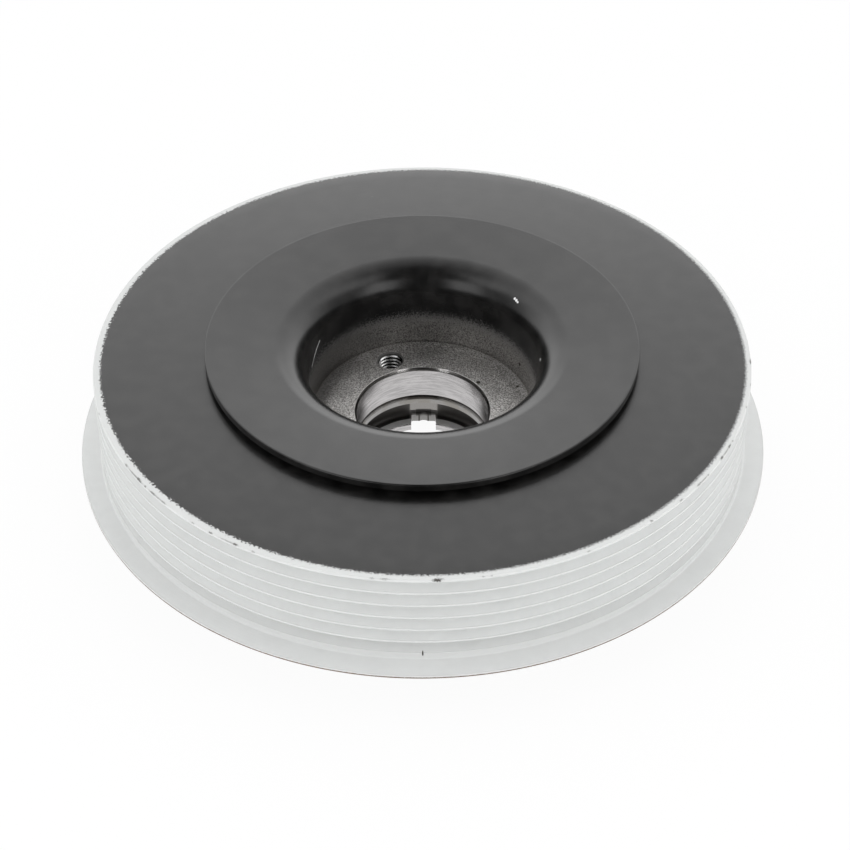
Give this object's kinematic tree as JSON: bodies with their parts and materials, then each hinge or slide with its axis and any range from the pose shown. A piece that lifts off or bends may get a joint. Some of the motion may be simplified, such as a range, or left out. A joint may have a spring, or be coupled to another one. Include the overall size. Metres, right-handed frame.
{
  "type": "harmonic balancer",
  "caption": "Crankshaft damper pulley: ribbed belt ring with a rear guide flange, rubber ring, and a hub with a flared front disc, deep cup and keyed bore.",
  "frame": {"origin": "centre of the hub's rear face, which bears on the crankshaft", "axes": "+Z along the turning axis towards the front disc, +Y through the middle of the keyway"},
  "size_m": [0.162, 0.162, 0.0392],
  "materials": {
    "hub_coat": "satin black coat, bare turned metal in the cup's floor and the bore",
    "rubber": "matte black elastomer",
    "ring_coat": "light grey matte coat on the belt track, satin black on the front face"
  },
  "bodies": {
    "root": {"hub": "hub_coat", "rubber_ring": "rubber", "pulley_ring": "ring_coat"}
  },
  "joints": []
}
